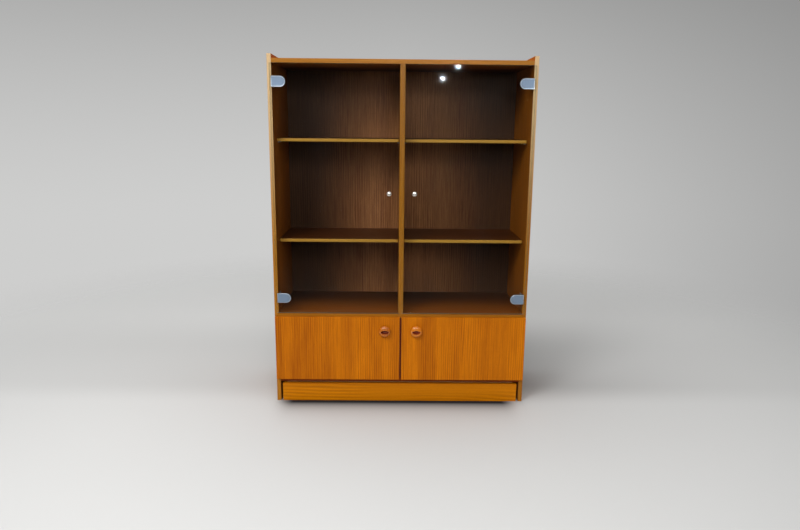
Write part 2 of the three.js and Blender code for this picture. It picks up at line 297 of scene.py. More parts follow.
def metal(name, tint, rough, brushed=0.0, grain="X", metallic=1.0):
    g = finish(name)
    along = grainAxes[grain]
    scratches = g.noise(g.stretched([0.03 if i == along else 1.0 for i in range(3)]), 2600.0, 2.0, 0.6)
    smudges = g.noise(g.place, 45.0, 3.0, 0.6)
    spots = g.between(g.noise(g.place, 900.0, 2.0), 0.66, 0.74)
    colour = g.mixed(smudges * 0.25, paint(tint), paint(metalTones["smudge"]))
    colour = g.mixed(spots * 0.3, colour, paint(metalTones["spot"]))
    roughness = (smudges - 0.5) * 0.18 + spots * 0.15 + (scratches - 0.5) * brushed + rough
    return g.surface(
        Base_Color=colour, Metallic=metallic, Roughness=g.clamped(roughness),
        Normal=g.bump(scratches * brushed + spots * 0.2, 0.00004, 0.5),
    )


def plastic(name, tint, rough):
    g = finish(name)
    grain = g.noise(g.place, 1800.0, 2.0, 0.6)
    patch = g.noise(g.place, 60.0, 2.0)
    colour = g.mixed(patch * 0.35, paint(tint), paint("20140e"))
    return g.surface(
        Base_Color=colour, Roughness=g.clamped((patch - 0.5) * 0.2 + rough),
        Normal=g.bump(grain, 0.00005, 0.6),
    )


def softwood(name):
    g = finish(name)
    rings = g.noise(g.stretched((0.06, 1.0, 1.0)), 70.0, 3.0, 0.6)
    fibres = g.noise(g.stretched((0.03, 1.0, 1.0)), 700.0, 2.0, 0.6)
    colour = g.mixed(g.clamped(rings * 1.6 - 0.3), paint("a8825a"), paint("d2b184"))
    colour = g.mixed(fibres * 0.3, colour, paint("8a6844"))
    return g.surface(
        Base_Color=colour, Roughness=g.clamped(fibres * 0.2 + 0.6), Normal=g.bump(fibres, 0.0002, 0.5),
    )


# Float glass: seen straight through, with a reflection that grows at a slant and a greenish edge
floatGlass = {
    "through": (0.965, 0.98, 0.972, 1.0),
    "shine": (0.8, 0.85, 0.88, 1.0), "shineRough": 0.030, "straight": 0.004, "slanted": 0.7, "power": 4,
    "haze": (0.62, 0.68, 0.72, 1.0), "hazeRough": 0.5, "smear": 0.003, "dust": 0.002,
    "edgeDark": "5f7f72", "edgeLight": "9db8a8",
}


def clearGlass():
    g = finish("clear glass")
    smear = g.noise(g.stretched((1.0, 1.0, 0.4)), 6.0, 4.0, 0.6)
    dust = g.noise(g.place, 90.0, 3.0, 0.7)
    film = g.between(smear, 0.50, 0.80) * floatGlass["smear"]
    film = film + g.between(dust, 0.6, 0.85) * floatGlass["dust"]
    through = g.node("ShaderNodeBsdfTransparent", {}, {"Color": floatGlass["through"]})
    shine = g.node("ShaderNodeBsdfPrincipled", {}, {
        "Base Color": floatGlass["shine"], "Roughness": floatGlass["shineRough"], "Metallic": 1.0,
    })
    haze = g.node("ShaderNodeBsdfPrincipled", {}, {
        "Base Color": floatGlass["haze"], "Roughness": floatGlass["hazeRough"],
    })
    slant = Value(g, g.node("ShaderNodeLayerWeight", {}, {"Blend": 0.5}).outputs["Facing"])
    mirror = slant ** floatGlass["power"] * floatGlass["slanted"] + floatGlass["straight"]
    clear = g.node("ShaderNodeMixShader", {}, {0: mirror, 1: through.outputs[0], 2: shine.outputs[0]})
    whole = g.node("ShaderNodeMixShader", {}, {0: film, 1: clear.outputs[0], 2: haze.outputs[0]})
    return g.output(whole.outputs[0])


def glassEdge():
    g = finish("glass edge")
    ripple = g.noise(g.place, 300.0, 2.0)
    colour = g.mixed(ripple, paint(floatGlass["edgeDark"]), paint(floatGlass["edgeLight"]))
    return g.surface(
        Base_Color=colour, Roughness=g.clamped(ripple * 0.2 + 0.08), Alpha=0.75,
        Normal=g.bump(ripple, 0.0001, 0.3),
    )


pastFace = 0.001  # how far a cutting tool runs past the face that it cuts


def middleOf(name):
    low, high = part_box(name)
    return (low + high) / 2


def deselectAll():
    if bpy.context.object and bpy.context.object.mode != "OBJECT":
        bpy.ops.object.mode_set(mode="OBJECT")
    for obj in bpy.context.view_layer.objects:
        obj.select_set(False)


def makeActive(obj):
    deselectAll()
    obj.select_set(True)
    bpy.context.view_layer.objects.active = obj


def settled(name):  # names the new primitive and moves its place into its mesh
    obj = bpy.context.object
    obj.name = name
    obj.data.name = name
    bpy.ops.object.transform_apply(location=True, rotation=True, scale=True)
    return obj


def block(name, low, high):
    deselectAll()
    low, high = Vector(low), Vector(high)
    bpy.ops.mesh.primitive_cube_add(size=1, location=(low + high) / 2, scale=high - low)
    return settled(name)


def rod(name, radius, start, end, sides=32):
    deselectAll()
    start, end = Vector(start), Vector(end)
    turn = (end - start).to_track_quat("Z", "Y").to_euler()
    bpy.ops.mesh.primitive_cylinder_add(
        vertices=sides, radius=radius, depth=(end - start).length, location=(start + end) / 2, rotation=turn,
    )
    return settled(name)


def withModifier(obj, kind, **settings):
    makeActive(obj)
    modifier = obj.modifiers.new(kind.lower(), kind)
    for key, value in settings.items():
        setattr(modifier, key, value)
    bpy.ops.object.modifier_apply(modifier=modifier.name)
    return obj


def softEdges(obj, width, segments=2, angle=30.0):  # rounds the edges sharper than angle
    withModifier(
        obj, "BEVEL", width=width, segments=segments, limit_method="ANGLE", angle_limit=math.radians(angle),
    )
    return obj


def cutAway(obj, tool):
    withModifier(obj, "BOOLEAN", operation="DIFFERENCE", object=tool, solver="EXACT")
    bpy.data.objects.remove(tool)
    return obj


def smoothed(obj, angle=40.0):  # round where it is round, and its flats kept flat
    makeActive(obj)
    bpy.ops.object.shade_smooth_by_angle(angle=math.radians(angle))
    return withModifier(obj, "WEIGHTED_NORMAL", keep_sharp=True, weight=100)


def joined(name, parts):
    deselectAll()
    for part in parts:
        part.select_set(True)
    bpy.context.view_layer.objects.active = parts[0]
    if len(parts) > 1:
        bpy.ops.object.join()
    parts[0].name = name
    parts[0].data.name = name
    return parts[0]


def pickFaces(obj, test):
    makeActive(obj)
    bpy.ops.object.mode_set(mode="EDIT")
    bpy.ops.mesh.select_mode(type="FACE")
    bpy.ops.mesh.select_all(action="DESELECT")
    bpy.ops.object.mode_set(mode="OBJECT")
    for face in obj.data.polygons:
        face.select = test(face)
    bpy.ops.object.mode_set(mode="EDIT")


def pickEdges(obj, test):
    makeActive(obj)
    bpy.ops.object.mode_set(mode="EDIT")
    bpy.ops.mesh.select_mode(type="EDGE")
    bpy.ops.mesh.select_all(action="DESELECT")
    bpy.ops.object.mode_set(mode="OBJECT")
    points = obj.data.vertices
    for edge in obj.data.edges:
        a, b = (points[i].co for i in edge.vertices)
        edge.select = test(a, b)
    bpy.ops.object.mode_set(mode="EDIT")


def leaveEdit():
    bpy.ops.object.mode_set(mode="OBJECT")


# Turns a profile, (radius, y) pairs, round an axis along Y through x, z
def turned(name, profile, x, z, steps=48):
    deselectAll()
    radius, y = profile[0]
    bpy.ops.mesh.primitive_plane_add(size=0.001, location=(x + radius, y, z))
    obj = settled(name)
    bpy.ops.object.mode_set(mode="EDIT")
    bpy.ops.mesh.select_mode(type="VERT")
    bpy.ops.mesh.select_all(action="SELECT")
    bpy.ops.mesh.merge(type="CENTER")
    for (r0, y0), (r1, y1) in zip(profile, profile[1:]):
        bpy.ops.mesh.extrude_vertices_move(TRANSFORM_OT_translate={"value": (r1 - r0, y1 - y0, 0)})
    bpy.ops.mesh.select_all(action="SELECT")
    bpy.ops.mesh.spin(steps=steps, angle=2 * math.pi, center=(x, 0, z), axis=(0, 1, 0))
    bpy.ops.mesh.select_all(action="SELECT")
    bpy.ops.mesh.remove_doubles(threshold=0.00001)
    bpy.ops.mesh.normals_make_consistent(inside=False)
    leaveEdit()
    return obj


def dress(obj, *materials):
    obj.data.materials.clear()
    for material in materials:
        obj.data.materials.append(material)
    return obj


def faceMaterial(obj, index, test):
    for face in obj.data.polygons:
        if test(face):
            face.material_index = index


def fitted(obj, body, slot, *nodes):
    smoothed(obj)
    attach(obj, body)
    if nodes:
        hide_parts(*nodes)
    return obj


screwValues = {
    # radius and place along the axis, from the head's top down
    "head": [(0, 0), (0.0012, 0), (0.0026, -0.0003), (0.0034, -0.0009), (0.0036, -0.0016), (0.0036, -0.0019)],
    "shank": [(0.0017, -0.0019), (0.0017, -0.0042), (0, -0.0042)],
    "headHeight": 0.0019, "edgeRadius": 0.00012,
    "slotWidth": 0.0008, "slotLength": 0.0044, "slotDepth": 0.0011,
}


# A cross-headed screw at the origin, its head's top at y 0 and its shank towards -Y
def crossScrew():
    screw = turned("screw", screwValues["head"] + screwValues["shank"], 0, 0, 28)
    length, width, depth = (screwValues[key] for key in ("slotLength", "slotWidth", "slotDepth"))
    for across, up in ((length, width), (width, length)):
        slot = block("slot", (-across / 2, -depth, -up / 2), (across / 2, pastFace, up / 2))
        cutAway(screw, slot)
    return softEdges(screw, screwValues["edgeRadius"], 1, 50.0)


# A copy of a piece made at the origin: turned, moved to its place, and the place kept in its mesh
def placed(master, name, place, turn=(0, 0, 0)):
    makeActive(master)
    bpy.ops.object.duplicate()
    copy = bpy.context.object
    copy.location = place
    copy.rotation_euler = turn
    return settled(name)


screwMaster = crossScrew()
turnInto = {1: (0, 0, math.pi / 2), -1: (0, 0, -math.pi / 2)}  # its shank into a board on that side


boardValues = {
    "edgeRadius": 0.0006,  # eased edges of the veneered boards
    "battenRadius": 0.0015,
    "pinHoleRadius": 0.003,
    "pinHoleDepth": 0.0084,
    "pinHolePitch": 0.056,
    "pinHoleCount": 13,
    "rowsApart": 0.198,
    "pinHolesBelowLowShelf": 2,
    "rebateDepth": 0.008,  # for the back panel
    "rebateGap": 0.0003,
}


# One drill for a face's two rows of shelf holes; face is the x of that face, inward leads into the board
def drillRows(face, inward):
    low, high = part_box("shelf_wire_lower_left_outer")
    z = (low.z + high.z) / 2 - boardValues["pinHolesBelowLowShelf"] * boardValues["pinHolePitch"]
    y = low.y + (high.z - low.z) / 2
    near, far = face - inward * pastFace, face + inward * boardValues["pinHoleDepth"]
    drill = rod("drill", boardValues["pinHoleRadius"], (near, y, z), (far, y, z), 20)
    for count, step in (
        (boardValues["pinHoleCount"], (0, 0, boardValues["pinHolePitch"])),
        (2, (0, boardValues["rowsApart"], 0)),
    ):
        withModifier(
            drill, "ARRAY", count=count, use_relative_offset=False, use_constant_offset=True,
            constant_offset_displace=step,
        )
    return drill


def board(name, *finishes):
    low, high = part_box(name)
    plank = softEdges(block(name + "_board", low, high), boardValues["edgeRadius"])
    return dress(plank, *finishes)


def frontEdge(obj):  # the second material is the front edge's lipping
    faceMaterial(obj, 1, lambda face: face.normal.y < -0.6)


def splitAt(obj, z):  # a level line of edges round the board, so that its finish can change there
    makeActive(obj)
    bpy.ops.object.mode_set(mode="EDIT")
    bpy.ops.mesh.select_all(action="SELECT")
    bpy.ops.mesh.bisect(plane_co=(0, 0, z), plane_no=(0, 0, 1))
    leaveEdit()


sideTeak = teak("inside", "Z")
outsideTeak = teak("door", "Z", (0.5, 0.2, 0.1))
# the level boards darken towards the back of the case: painted shade
crossTeak = teak("level", "X", (0.3, 0.1, 0.7), "deep")
topTeak = teak("door", "X", (0.6, 0.2, 0.4))
# the side panels' front edges turn paler high up: a painted highlight
uprightEdge = teak("edge", "Z", (0.1, 0.0, 0.2), "painted_highlight_high")
middleEdge = teak("edge", "Z", (0.3, 0.0, 0.6))
crossEdge = teak("edge", "X", (0.5, 0.0, 0.3))
# the bottom board's front edge and the divider's front edge behind the doors are darker: painted shade
darkEdges = {"X": teak("stained", "X"), "Z": teak("hollow", "Z")}  # edges in the gaps round the doors

for side, hand in hands:
    low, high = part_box("side_" + side)
    panel = softEdges(block("side_panel_" + side, low, high), boardValues["edgeRadius"])
    inner = low.x if hand > 0 else high.x
    near, far = sorted((inner - hand * pastFace, inner + hand * boardValues["rebateDepth"]))
    back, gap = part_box("back_panel")[0], boardValues["rebateGap"]
    rebate = block("rebate", (near, back.y - gap, back.z - gap), (far, high.y + pastFace, high.z + pastFace))
    cutAway(panel, rebate)
    cutAway(panel, drillRows(inner, hand))
    dress(panel, sideTeak, uprightEdge, outsideTeak)
    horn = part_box("top_board")[1].z  # the side stands up past the top board
    splitAt(panel, horn)
    faceMaterial(panel, 2, lambda face: face.normal.x * hand > 0.6 or face.center.z > horn)
    frontEdge(panel)
    fitted(panel, "carcass", "teak_veneer", "side_" + side)

for name in ("top_board", "bottom_board", "fixed_shelf_left", "fixed_shelf_right"):
    plank = board(name, crossTeak, darkEdges["X"] if name == "bottom_board" else crossEdge)
    frontEdge(plank)
    if name == "top_board":
        plank.data.materials.append(topTeak)
        faceMaterial(plank, 2, lambda face: face.normal.z > 0.6)
    fitted(plank, "carcass", "teak_veneer", name)

low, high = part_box("centre_divider")
divider = softEdges(block("divider_board", low, high), boardValues["edgeRadius"])
cutAway(divider, drillRows(low.x, 1))
cutAway(divider, drillRows(high.x, -1))
dress(divider, sideTeak, middleEdge, darkEdges["Z"])
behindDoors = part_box("fixed_shelf_left")[0].z
splitAt(divider, behindDoors)
frontEdge(divider)
# the divider's front edge behind the doors is darker: painted shade
faceMaterial(divider, 2, lambda face: face.normal.y < -0.6 and face.center.z < behindDoors)
fitted(divider, "carcass", "teak_veneer", "centre_divider")

plinth = board("plinth_board", teak("plinth", "X", (0.2, 0.0, 0.4)))
fitted(plinth, "carcass", "teak_veneer", "plinth_board")

batten = softEdges(block("plinth_batten_wood", *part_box("plinth_batten")), boardValues["battenRadius"], 3)
fitted(dress(batten, softwood("softwood")), "carcass", "softwood", "plinth_batten")

# the back panel darkens towards its sides: painted shade
backBoard = board("back_panel", teak("back", "Z", (0.2, 0.3, 0.1), "shaded"), teak("reverse", "Z"))
faceMaterial(backBoard, 1, lambda face: face.normal.y > 0.6)  # plain behind
fitted(backBoard, "carcass", "back_veneer", "back_panel")
print("carcass boards made")


shelfValues = {
    "cornerRadius": 0.006, "lipRound": 0.002, "boardRound": 0.0005, "wireBend": 0.004, "wireRound": 0.0005,
}
shelfTeak = teak("shelf", "X", (0.1, 0.2, 0.5))
lipTeak = teak("lip", "X", (0.4, 0.0, 0.1))
steelWire = metal("bright steel wire", "b4b6b8", 0.28, 0.2, "Y")


# The solid lipping along a shelf's front, its front corners rounded in plan
def shelfLip(name):
    low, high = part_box(name)
    lip = block(name + "_edging", low, high)
    pickEdges(lip, lambda a, b: abs(a.x - b.x) < 1e-6 and abs(a.y - b.y) < 1e-6 and a.y < low.y + 1e-5)
    bpy.ops.mesh.bevel(offset=shelfValues["cornerRadius"], segments=6, affect="EDGES")
    leaveEdit()
    softEdges(lip, shelfValues["lipRound"], 3, 40.0)
    return dress(lip, lipTeak)


# A wire whose two ends bend into a board's holes; outward leads along X into that board
def bentWire(name, outward):
    low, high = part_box(name)
    radius = (high.z - low.z) / 2
    z = (low.z + high.z) / 2
    end, rail = (high.x, low.x + radius) if outward > 0 else (low.x, high.x - radius)
    front, back = low.y + radius, high.y - radius
    bend = shelfValues["wireBend"]
    deselectAll()
    bpy.ops.mesh.primitive_circle_add(
        vertices=20, radius=radius, location=(end, front, z), rotation=(0, math.pi / 2, 0), fill_type="NGON",
    )
    wire = settled(name + "_bent")
    bendX = rail + outward * bend
    bpy.ops.object.mode_set(mode="EDIT")
    bpy.ops.mesh.select_all(action="SELECT")
    for step, corner in (
        ((bendX - end, 0, 0), front + bend), ((0, back - front - 2 * bend, 0), back - bend),
        ((end - bendX, 0, 0), None),
    ):
        bpy.ops.mesh.extrude_region_move(TRANSFORM_OT_translate={"value": step})
        if corner is not None:
            bpy.ops.mesh.spin(steps=6, angle=outward * math.pi / 2, center=(bendX, corner, z), axis=(0, 0, 1))
    bpy.ops.mesh.select_all(action="SELECT")
    bpy.ops.mesh.remove_doubles(threshold=0.00001)
    bpy.ops.mesh.normals_make_consistent(inside=False)
    leaveEdit()
    return dress(softEdges(wire, shelfValues["wireRound"], 2, 60.0), steelWire)


for side, hand in hands:
    for level in ("upper", "lower"):
        shelf = softEdges(
            block(f"shelf_board_{level}_{side}", *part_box(f"shelf_{level}_{side}")), shelfValues["boardRound"],
        )
        body = f"{level}_shelf_{side}"
        fitted(dress(shelf, shelfTeak), body, "shelf_board", f"shelf_{level}_{side}")
        fitted(shelfLip(f"shelf_lip_{level}_{side}"), body, "shelf_edge", f"shelf_lip_{level}_{side}")
        for row, outward in (("outer", hand), ("inner", -hand)):
            name = f"shelf_wire_{level}_{side}_{row}"
            fitted(bentWire(name, outward), "carcass", "steel", name)
print("shelves made")


glassValues = {
    "arris": 0.0006, "boreRadius": 0.013, "knobHole": 0.0025,
    "coverRim": 0.0018, "coverRound": 0.0007, "coverStep": 0.0006, "coverSunk": 0.0004,
    "gasketThick": 0.00026, "gasketProud": 0.0016, "gasketGap": 0.00002,
    # turned knob: radius and depth behind its front
    "knob": [
        (0, 0), (0.0030, 0.0001), (0.0054, 0.0006), (0.0073, 0.0016), (0.0087, 0.0030), (0.0094, 0.0046),
        (0.0092, 0.0060), (0.0081, 0.0074), (0.0062, 0.0086), (0.0050, 0.0098), (0.0047, 0.0114),
        (0.0051, 0.0130), (0.0064, 0.0142), (0.0070, 0.0146), (0.0070, 0.0150), (0.0020, 0.0150),
        (0.0020, 0.0206), (0.0056, 0.0206), (0.0056, 0.0215), (0.0048, 0.0224), (0.0028, 0.0229), (0, 0.0229),
    ],
    # hinge cup in the bore, the same way
    "cup": [
        (0, 0), (0.0126, 0), (0.0126, 0.0051), (0.0156, 0.0051), (0.0160, 0.0055), (0.0160, 0.0062),
        (0.0156, 0.0066), (0.0130, 0.0071), (0.0126, 0.0074), (0.0126, 0.0134), (0.0122, 0.0138),
        (0.0100, 0.0138), (0.0095, 0.0133), (0.0095, 0.0068), (0.0090, 0.0063), (0, 0.0063),
    ],
}
paneGlass = clearGlass()
paneEdge = glassEdge()
chrome = metal("polished chrome", "f2ebe2", 0.30, 0.05, "Z")
# The hinge covers' blue-grey is a painted reflection of blue surroundings; their rim, in a lighter copy, is a
# painted highlight
coverChrome = metal("satin chrome painted blue reflection", "7488a0", 0.44, 0.08, "Z", 0.45)
rimHighlightChrome = metal("chrome rim painted highlight", "c4cfda", 0.30, 0.05, "Z")
rubber = plastic("black rubber", "18181a", 0.7)
zinc = metal("zinc alloy", "9a9da2", 0.38, 0.1)
steel = metal("bright steel", "a6a8ac", 0.30, 0.25)


# Round-ended outline over a hinge bore: a disc cut in half, its flat drawn out to the pane's edge.
# It is left in edit mode with its front face selected
def roundEnded(name, node, hand, front, back, grown=0.0):
    low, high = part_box(node)
    radius = (high.z - low.z) / 2
    z = (low.z + high.z) / 2
    roundX = low.x + radius if hand > 0 else high.x - radius
    plate = rod(name, radius + grown, (roundX, front, z), (roundX, back, z), 72)
    bpy.ops.object.mode_set(mode="EDIT")
    bpy.ops.mesh.select_all(action="SELECT")
    bpy.ops.mesh.bisect(
        plane_co=(roundX, 0, 0), plane_no=(hand, 0, 0), use_fill=True, clear_outer=True,
    )
    leaveEdit()
    pickFaces(plate, lambda face: face.normal.x * hand > 0.99)
    reach = (high.x if hand > 0 else low.x) - roundX
    bpy.ops.mesh.extrude_region_move(TRANSFORM_OT_translate={"value": (reach, 0, 0)})
    leaveEdit()
    pickFaces(plate, lambda face: face.normal.y < -0.9)
    bpy.ops.mesh.dissolve_faces()
    return plate


def hingeCover(name, hand):  # a plate with a raised rim round its face
    low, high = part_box(name)
    plate = roundEnded(name + "_plate", name, hand, low.y, high.y)
    bpy.ops.mesh.inset(thickness=glassValues["coverRim"])
    bpy.ops.mesh.inset(thickness=glassValues["coverStep"], depth=-glassValues["coverSunk"])
    leaveEdit()
    dress(softEdges(plate, glassValues["coverRound"], 3, 60.0), coverChrome, rimHighlightChrome)
    sunk = low.y + glassValues["coverSunk"] / 2
    # the rim and the plate's sides take the lighter chrome: a painted highlight
    faceMaterial(plate, 1, lambda face: face.center.y < sunk or face.normal.y > -0.9)
    return plate


def hingeGasket(name, cover, hand):  # thin rubber between plate and glass, a little larger than the plate
    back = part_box("glass_pane_left")[0].y - glassValues["gasketGap"]
    gasket = roundEnded(
        name, cover, hand, back - glassValues["gasketThick"], back, glassValues["gasketProud"],
    )
    leaveEdit()
    return dress(gasket, rubber)


# A round fitting turned about the middle of its node, its profile in radius and depth behind its front
def cup(name, profile, material):
    front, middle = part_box(name)[0].y, middleOf(name)
    piece = turned(name + "_cup", [(r, front + y) for r, y in profile], middle.x, middle.z, 64)
    return dress(piece, material)


for side, hand in hands:
    body = "glass_door_" + side
    low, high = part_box("glass_pane_" + side)
    pane = softEdges(block("pane_" + side, low, high), glassValues["arris"])
    for radius, through in (
        (glassValues["boreRadius"], "glass_hinge_cup_low_" + side),
        (glassValues["boreRadius"], "glass_hinge_cup_high_" + side),
        (glassValues["knobHole"], "glass_knob_" + side),
    ):
        x, _, z = middleOf(through)
        cutAway(pane, rod("bore", radius, (x, low.y - pastFace, z), (x, high.y + pastFace, z), 48))
    dress(pane, paneGlass, paneEdge)
    faceMaterial(pane, 1, lambda face: abs(face.normal.y) < 0.9)
    fitted(pane, body, "clear_glass", "glass_pane_" + side)

    knob = cup("glass_knob_" + side, glassValues["knob"], chrome)
    fitted(knob, body, "chrome", "glass_knob_" + side)
    for level in ("low", "high"):
        ends = f"{level}_{side}"
        cover = "glass_hinge_cover_" + ends
        fitted(hingeCover(cover, hand), body, "chrome", cover)
        fitted(hingeGasket("glass_hinge_gasket_" + ends, cover, hand), body, "brown_plastic")
        name = "glass_hinge_cup_" + ends
        fitted(cup(name, glassValues["cup"], zinc), body, "zinc", name)
print("glass doors made")


doorValues = {
    "edgeRadius": 0.0008, "cupRadius": 0.0178, "screwHole": 0.0023,
    # turned pull: radius and depth behind its front
    "pull": [
        (0, 0), (0.0105, 0), (0.0135, 0.0003), (0.0163, 0.0010), (0.0187, 0.0022), (0.0207, 0.0038),
        (0.0222, 0.0057), (0.0231, 0.0078), (0.0235, 0.0100), (0.0233, 0.0120), (0.0225, 0.0140),
        (0.0211, 0.0162), (0.0196, 0.0180), (0.0184, 0.0192), (0.0180, 0.0197), (0, 0.0197),
    ],
    # finger scoop: half sizes of the hollow, how far below the middle it sits, its rounded rim
    "scoop": (0.0160, 0.0108, 0.0076), "scoopDrop": 0.0010, "scoopRim": 0.0012, "scoopStart": 0.0014,
    # the pull's screw, from its tip to its head behind the door
    "screw": [
        (0, 0), (0.0019, 0), (0.0019, 0.0233), (0.0042, 0.0233), (0.0042, 0.0240), (0.0037, 0.0250),
        (0.0024, 0.0255), (0, 0.0256),
    ],
    "slotLength": 0.005, "slotWidth": 0.0009, "slotDepth": 0.0013, "screwRound": 0.00015,
    # hinge cup in its recess
    "cup": [
        (0, 0), (0.0172, 0), (0.0175, 0.0003), (0.0175, 0.0126), (0.0192, 0.0126), (0.0195, 0.0129),
        (0.0195, 0.0133), (0.0192, 0.0137), (0.0146, 0.0137), (0.0140, 0.0132), (0.0140, 0.0020),
        (0.0135, 0.0015), (0, 0.0015),
    ],
    "recessGap": 0.0003,
}
doorTeak = teak("door", "Z", (0.13, 0.0, 0.37))
turnedTeak = teak("turned", "Z", (0.2, 0.1, 0.3))
scoopShadeTeak = teak("hollow", "Z", (0.2, 0.1, 0.3))


# Turned wooden pull with a finger scoop across its face
def pull(name):
    front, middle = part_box(name)[0].y, middleOf(name)
    centre = Vector((middle.x, front, middle.z - doorValues["scoopDrop"]))
    piece = cup(name, doorValues["pull"], turnedTeak)
    deselectAll()
    bpy.ops.mesh.primitive_uv_sphere_add(
        segments=64, ring_count=32, radius=1, scale=doorValues["scoop"], location=centre,
    )
    cutAway(piece, settled("scoop"))
    softEdges(piece, doorValues["scoopRim"], 3, 35.0)
    piece.data.materials.append(scoopShadeTeak)

    def insideScoop(face):
        spread = sum(((a - b) / size) ** 2 for a, b, size in zip(face.center, centre, doorValues["scoop"]))
        return spread < 0.998 and face.center.y > front + doorValues["scoopStart"]

    # the faces inside the scoop take the darker look: painted shade
    faceMaterial(piece, 1, insideScoop)
    return piece


def pullScrew(name):
    low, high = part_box(name)
    middle = middleOf(name)
    profile = [(r, low.y + y) for r, y in doorValues["screw"]]
    piece = turned(name + "_shank", profile, middle.x, middle.z, 32)
    length, width = doorValues["slotLength"], doorValues["slotWidth"]
    for across, up in ((length, width), (width, length)):
        slot = block(
            "slot", (middle.x - across / 2, high.y - doorValues["slotDepth"], middle.z - up / 2),
            (middle.x + across / 2, high.y + pastFace, middle.z + up / 2),
        )
        cutAway(piece, slot)
    return dress(softEdges(piece, doorValues["screwRound"], 1, 50.0), steel)


for side, hand in hands:
    body = "cupboard_door_body_" + side
    low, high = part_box("cupboard_door_" + side)
    slab = softEdges(block("door_panel_" + side, low, high), doorValues["edgeRadius"], 3)
    for level in ("low", "high"):
        name = f"door_hinge_cup_{level}_{side}"
        x, _, z = middleOf(name)
        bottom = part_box(name)[0].y - doorValues["recessGap"]
        cutAway(slab, rod("recess", doorValues["cupRadius"], (x, bottom, z), (x, high.y + pastFace, z), 56))
    x, _, z = middleOf("pull_screw_" + side)
    cutAway(slab, rod(
        "hole", doorValues["screwHole"], (x, low.y - pastFace, z), (x, high.y + pastFace, z), 20,
    ))
    dress(slab, doorTeak)
    fitted(slab, body, "door_teak", "cupboard_door_" + side)
    fitted(pull("cupboard_pull_" + side), body, "pull_teak", "cupboard_pull_" + side)
    fitted(pullScrew("pull_screw_" + side), body, "steel", "pull_screw_" + side)
    for level in ("low", "high"):
        name = f"door_hinge_cup_{level}_{side}"
        fitted(cup(name, doorValues["cup"], zinc), body, "zinc", name)
print("cupboard doors made")


armValues = {
    "round": 0.0006, "screwsApart": 0.021, "screwFromBack": {"glass": 0.009, "door": 0.010},
    "plateStandOff": 0.0025,  # outer face of the plate from the side panel
}
linkValues = {
    "thick": 0.0016, "tall": 0.009, "spread": 0.0028, "round": 0.0003, "cuts": 23,
    "middle": {"glass": 0.001, "door": 0.0},  # from the cup's middle towards the side
    "cupFloor": {"glass": 0.0066, "door": 0.0018}, "armReach": {"glass": 0.0022, "door": 0.0026},
    "rivetRadius": 0.0016, "rivetProud": 0.001, "rivetInArm": 0.0012, "rivetInCup": 0.0016,
}
catchValues = {
    "corner": 0.0015, "round": 0.0005, "plateCorner": 0.002, "plateRound": 0.0002,
    # slots in which the two pole pieces of the magnet stand
    "slotFromMiddle": 0.0018, "slotLong": 0.022, "slotTall": 0.0012, "slotDeep": 0.004,
}
backPinValues = {"radius": 0.0028, "height": 0.0009, "spacing": 0.11, "inset": 0.006, "sunk": 0.0001}
armSteel = metal("plated steel", "a9abad", 0.34, 0.15, "Y")
catchPlastic = plastic("brown plastic", "4a3526", 0.45)


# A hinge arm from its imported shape, its loose triangles merged into clean faces
def hingeArm(name):
    source = frame["nodes"][name]
    makeActive(source)
    bpy.ops.object.duplicate()
    arm = bpy.context.object
    arm.parent = None
    for key in list(arm.keys()):
        del arm[key]
    arm.name = name + "_arm"
    bpy.ops.object.mode_set(mode="EDIT")
    bpy.ops.mesh.select_all(action="SELECT")
    bpy.ops.mesh.remove_doubles(threshold=0.00001)
    bpy.ops.mesh.dissolve_limited(angle_limit=math.radians(1))
    leaveEdit()
    return dress(softEdges(arm, armValues["round"], 2, 40.0), armSteel)


def catchBlock(name):
    low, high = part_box(name)
    body = block(name + "_case", low, high)
    pickEdges(body, lambda a, b: abs(a.z - b.z) > 1e-4)
    bpy.ops.mesh.bevel(offset=catchValues["corner"], segments=4, affect="EDGES")
    leaveEdit()
    softEdges(body, catchValues["round"], 2, 40.0)
    middle = middleOf(name)
    halfLong, halfTall = catchValues["slotLong"] / 2, catchValues["slotTall"] / 2
    for way in (-1, 1):
        z = middle.z + way * catchValues["slotFromMiddle"]
        slot = block(
            "slot", (middle.x - halfLong, low.y - pastFace, z - halfTall),
            (middle.x + halfLong, low.y + catchValues["slotDeep"], z + halfTall),
        )
        cutAway(body, slot)
    return dress(body, catchPlastic)


def strikePlate(name):
    low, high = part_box(name)
    plate = block(name + "_strike", low, high)
    pickEdges(plate, lambda a, b: abs(a.y - b.y) > 1e-4)
    bpy.ops.mesh.bevel(offset=catchValues["plateCorner"], segments=5, affect="EDGES")
    leaveEdit()
    return dress(softEdges(plate, catchValues["plateRound"], 1, 60.0), steel)


for side, hand in hands:
    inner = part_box("side_" + side)[0 if hand > 0 else 1].x
    for kind in ("glass", "door"):
        for level in ("low", "high"):
            name = f"{kind}_hinge_arm_{level}_{side}"
            fitted(hingeArm(name), "carcass", "steel", name)
            x = inner - hand * (armValues["plateStandOff"] + screwValues["headHeight"])
            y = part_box(name)[1].y - armValues["screwFromBack"][kind]
            for end, up in (("lower", -1), ("upper", 1)):
                z = middleOf(name).z + up * armValues["screwsApart"] / 2
                screw = placed(screwMaster, f"{name}_screw_{end}", (x, y, z), turnInto[hand])
                fitted(dress(screw, steel), "carcass", "steel")
    name = "door_catch_" + side
    fitted(catchBlock(name), "carcass", "brown_plastic", name)
    name = "catch_plate_" + side
    fitted(strikePlate(name), "cupboard_door_body_" + side, "steel", name)
